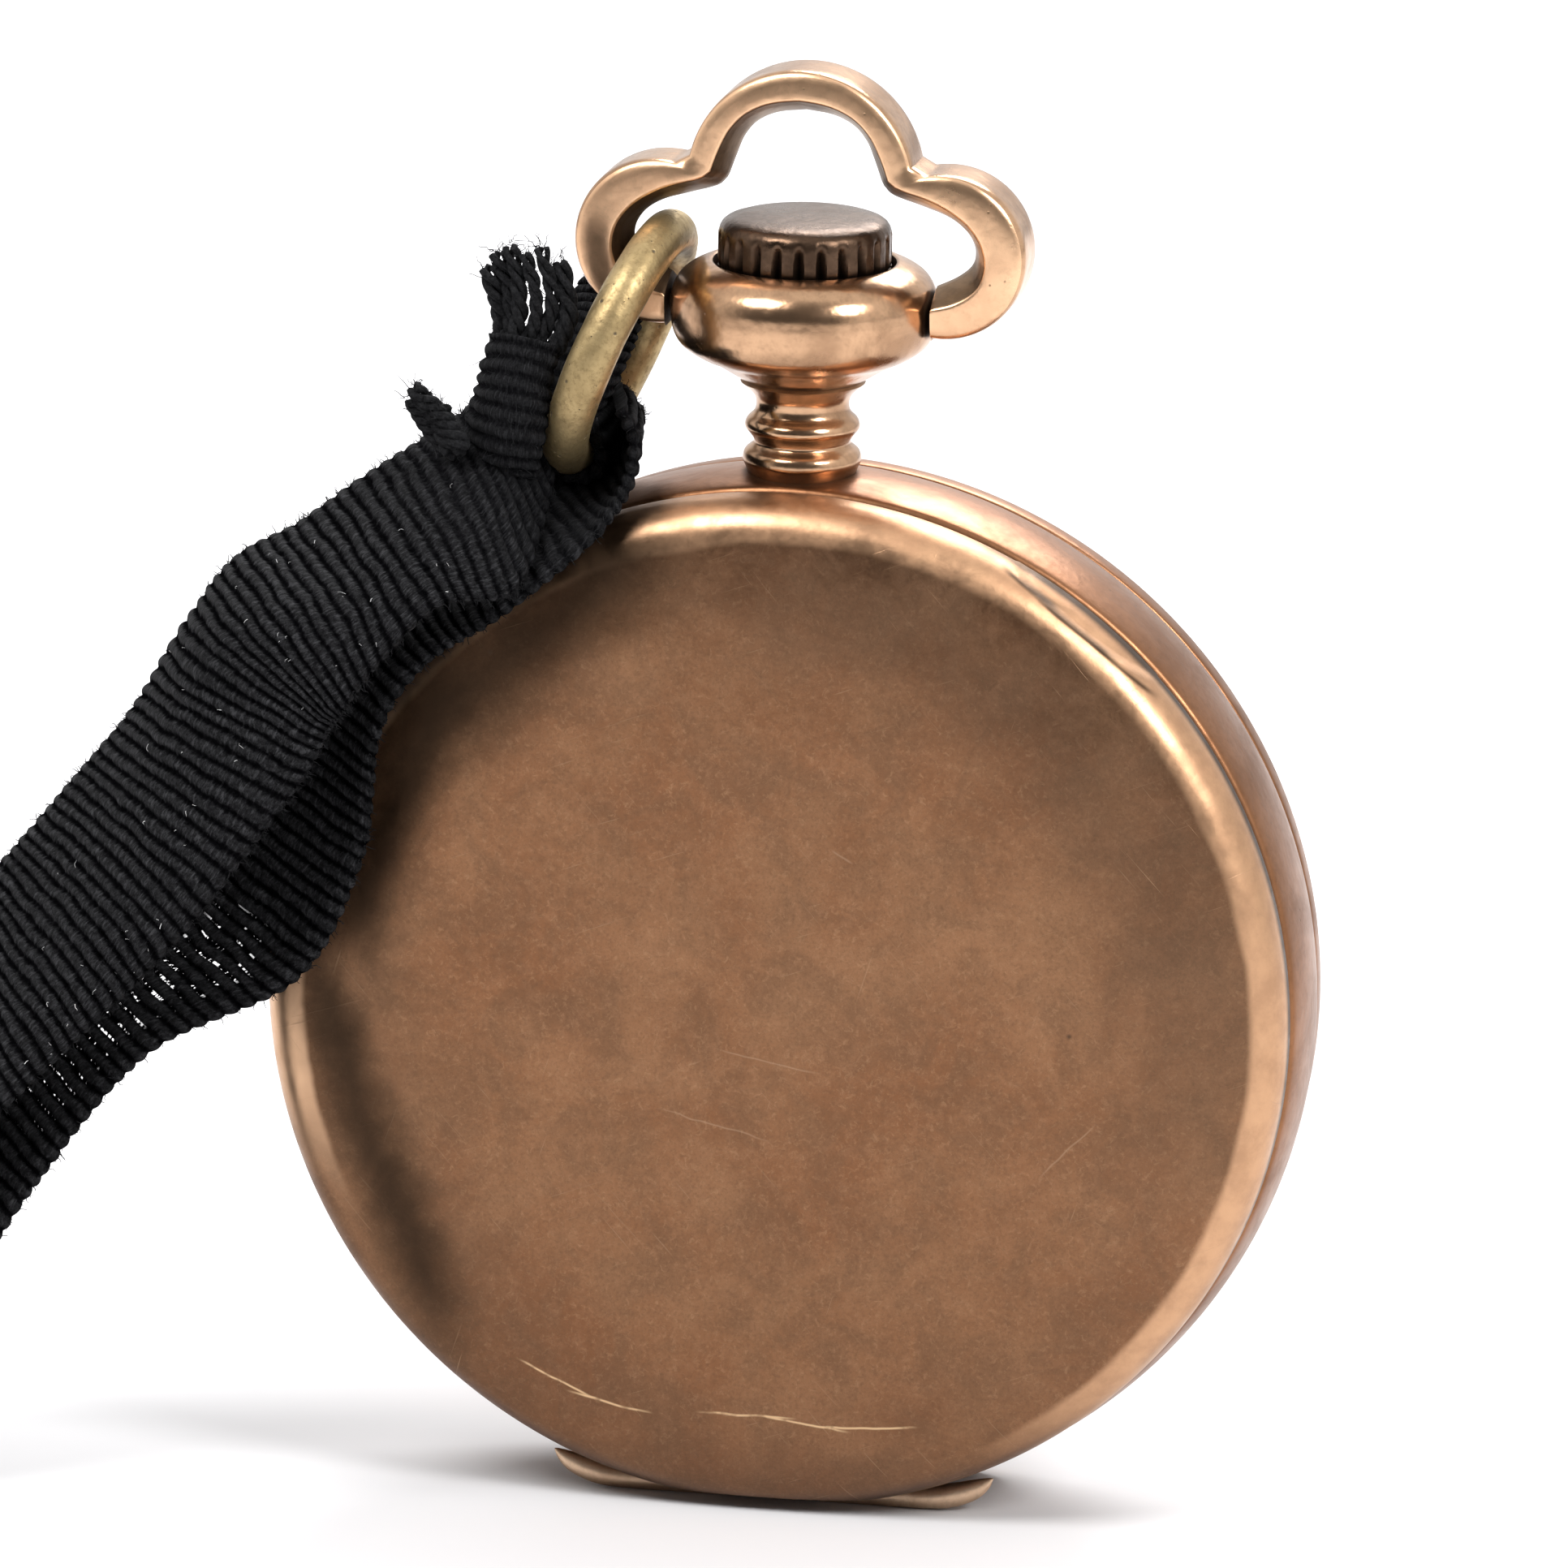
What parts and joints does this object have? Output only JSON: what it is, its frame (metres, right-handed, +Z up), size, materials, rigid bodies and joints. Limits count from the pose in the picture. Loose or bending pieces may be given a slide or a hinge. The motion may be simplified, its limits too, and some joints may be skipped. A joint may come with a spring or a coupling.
{
  "type": "fob watch",
  "caption": "Lady's hunter-case fob watch with plain hinged covers, fluted crown, trefoil bow, jump ring and a looped black grosgrain ribbon, with its full wound movement inside.",
  "frame": {"origin": "inner top of the bow, the point the watch hangs from", "axes": "+Z up through the pendant and crown, -Y out of the back cover, +Y out of the front cover over the dial, +X to the right seen from the back"},
  "size_m": [0.0763, 0.0183, 0.0484],
  "materials": {
    "rose_gold": "worn polished rose gold filled",
    "brown_gold": "satin worn, cloudy brown tarnish on gold filled",
    "worn_brass": "dull worn brass showing through",
    "olive_brass": "tarnished round brass wire",
    "nickel": "striped nickel",
    "gilt": "gilt, fine grained",
    "steel": "polished",
    "blued_steel": "heat blued",
    "enamel": "white fired enamel",
    "ruby": "polished red jewel",
    "glass": "clear",
    "grosgrain": "ribbed matte black"
  },
  "bodies": {
    "case": {"case_band": "rose_gold", "back_hinge_tube_left": "worn_brass", "back_hinge_tube_right": "worn_brass", "back_hinge_pin": "steel", "front_hinge_tube_left": "worn_brass", "front_hinge_tube_right": "worn_brass", "front_hinge_pin": "steel", "cuvette_hinge_pin": "steel", "bezel": "rose_gold", "crystal": "glass", "dial": "enamel", "pillar_plate": "nickel", "barrel_bridge": "nickel", "train_bridge": "nickel", "balance_cock": "nickel", "third_jewel": "ruby", "fourth_jewel": "ruby", "escape_jewel": "ruby", "balance_jewel": "ruby", "barrel_bridge_screw": "blued_steel", "train_bridge_screw_a": "blued_steel", "train_bridge_screw_b": "blued_steel", "balance_cock_screw": "blued_steel", "case_screw_a": "steel", "case_screw_b": "steel", "crown_wheel_screw": "blued_steel", "pendant": "rose_gold", "pendant_sleeve": "steel", "lift_spring": "steel", "lock_spring": "steel", "ribbon": "grosgrain"},
    "back_cover": {"back_cover": "brown_gold"},
    "front_cover": {"front_cover": "rose_gold"},
    "cuvette": {"cuvette": "gilt"},
    "winding": {"winding_pinion": "steel"},
    "crown": {"crown": "worn_brass", "winding_stem": "steel"},
    "crown_wheel": {"crown_wheel": "steel"},
    "ratchet": {"ratchet_wheel": "steel", "ratchet_screw": "blued_steel", "barrel_arbor": "steel"},
    "click": {"click": "steel"},
    "barrel": {"barrel_drum": "gilt", "mainspring": "blued_steel"},
    "centre": {"centre_wheel": "gilt", "cannon_pinion": "steel", "minute_hand": "blued_steel"},
    "third": {"third_wheel": "gilt"},
    "fourth": {"fourth_wheel": "gilt", "seconds_hand": "blued_steel"},
    "escape": {"escape_wheel": "steel"},
    "fork": {"pallet_fork": "steel"},
    "balance": {"balance_wheel": "gilt", "hairspring": "blued_steel"},
    "regulator": {"regulator": "steel"},
    "hour": {"hour_wheel": "gilt", "hour_hand": "blued_steel"},
    "minute_work": {"minute_wheel": "gilt"},
    "bow": {"bow": "rose_gold"},
    "ring": {"jump_ring": "olive_brass"}
  },
  "joints": [
    {"name": "back_cover_open", "type": "hinge", "parent": "case", "child": "back_cover", "pos_m": [0, -0.00236, -0.04636], "axis": [1, 0, 0], "range_deg": [0, 100], "deforming": ["ribbon"]},
    {"name": "cuvette_open", "type": "hinge", "parent": "case", "child": "cuvette", "pos_m": [0, -0.00276, -0.04528], "axis": [1, 0, 0], "range_deg": [0, 60]},
    {"name": "front_cover_open", "type": "hinge", "parent": "case", "child": "front_cover", "pos_m": [0, 0.00236, -0.04636], "axis": [-1, 0, 0], "range_deg": [0, 95]},
    {"name": "crown_turn", "type": "hinge", "parent": "case", "child": "winding", "pos_m": [0, 0, -0.00661], "axis": [0, 0, 1], "continuous": true},
    {"name": "crown_pull", "type": "slide", "parent": "winding", "child": "crown", "axis": [0, 0, 1], "range_m": [-0.0004, 0.0009]},
    {"name": "crown_wheel_turn", "type": "hinge", "parent": "case", "child": "crown_wheel", "pos_m": [0, 0, -0.02156], "axis": [0, 1, 0], "continuous": true},
    {"name": "ratchet_turn", "type": "hinge", "parent": "case", "child": "ratchet", "pos_m": [0.00481, 0, -0.0258], "axis": [0, 1, 0], "continuous": true},
    {"name": "click_lift", "type": "hinge", "parent": "case", "child": "click", "pos_m": [0.0099, 0, -0.02856], "axis": [0, 1, 0], "range_deg": [0, 12], "stiffness_Nm_per_rad": 0.00001},
    {"name": "fourth_turn", "type": "hinge", "parent": "case", "child": "fourth", "pos_m": [-0.0073, 0, -0.02956], "axis": [0, -1, 0], "continuous": true},
    {"name": "third_turn", "type": "hinge", "parent": "case", "child": "third", "pos_m": [-0.0044, 0, -0.02686], "axis": [0, -1, 0], "continuous": true},
    {"name": "centre_turn", "type": "hinge", "parent": "case", "child": "centre", "pos_m": [0, 0, -0.02956], "axis": [0, -1, 0], "continuous": true},
    {"name": "barrel_turn", "type": "hinge", "parent": "case", "child": "barrel", "pos_m": [0.00481, 0, -0.0258], "axis": [0, -1, 0], "continuous": true},
    {"name": "escape_turn", "type": "hinge", "parent": "case", "child": "escape", "pos_m": [-0.0052, 0, -0.03251], "axis": [0, -1, 0], "continuous": true},
    {"name": "hour_turn", "type": "hinge", "parent": "case", "child": "hour", "pos_m": [0, 0, -0.02956], "axis": [0, -1, 0], "continuous": true},
    {"name": "minute_work_turn", "type": "hinge", "parent": "case", "child": "minute_work", "pos_m": [0.0018, 0, -0.02776], "axis": [0, -1, 0], "continuous": true},
    {"name": "fork_rock", "type": "hinge", "parent": "case", "child": "fork", "pos_m": [-0.0032, 0, -0.03456], "axis": [0, -1, 0], "range_deg": [-4, 4]},
    {"name": "balance_swing", "type": "hinge", "parent": "case", "child": "balance", "pos_m": [0.0016, 0, -0.03716], "axis": [0, -1, 0], "range_deg": [-270, 270], "stiffness_Nm_per_rad": 0.00000015},
    {"name": "regulator_turn", "type": "hinge", "parent": "case", "child": "regulator", "pos_m": [0.0016, 0, -0.03716], "axis": [0, -1, 0], "range_deg": [-20, 20]},
    {"name": "bow_swing", "type": "hinge", "parent": "case", "child": "bow", "pos_m": [0, 0, -0.00661], "axis": [1, 0, 0], "range_deg": [-60, 60], "deforming": ["ribbon"]},
    {"name": "ring_turn", "type": "hinge", "parent": "bow", "child": "ring", "pos_m": [-0.00604, -0.00069, -0.00804], "axis": [0.9261, -0.0447, -0.3747], "continuous": true}
  ],
  "couplings": [
    {"joint": "cuvette_open", "follows": "back_cover_open", "ratio": 0.6},
    {"joint": "crown_wheel_turn", "follows": "crown_turn", "ratio": 0.5},
    {"joint": "ratchet_turn", "follows": "crown_turn", "ratio": -0.53333},
    {"joint": "third_turn", "follows": "fourth_turn", "ratio": -0.13333},
    {"joint": "centre_turn", "follows": "fourth_turn", "ratio": 0.016667},
    {"joint": "barrel_turn", "follows": "fourth_turn", "ratio": -0.0023148},
    {"joint": "escape_turn", "follows": "fourth_turn", "ratio": -9},
    {"joint": "hour_turn", "follows": "fourth_turn", "ratio": 0.0013889},
    {"joint": "minute_work_turn", "follows": "fourth_turn", "ratio": -0.0055556}
  ]
}
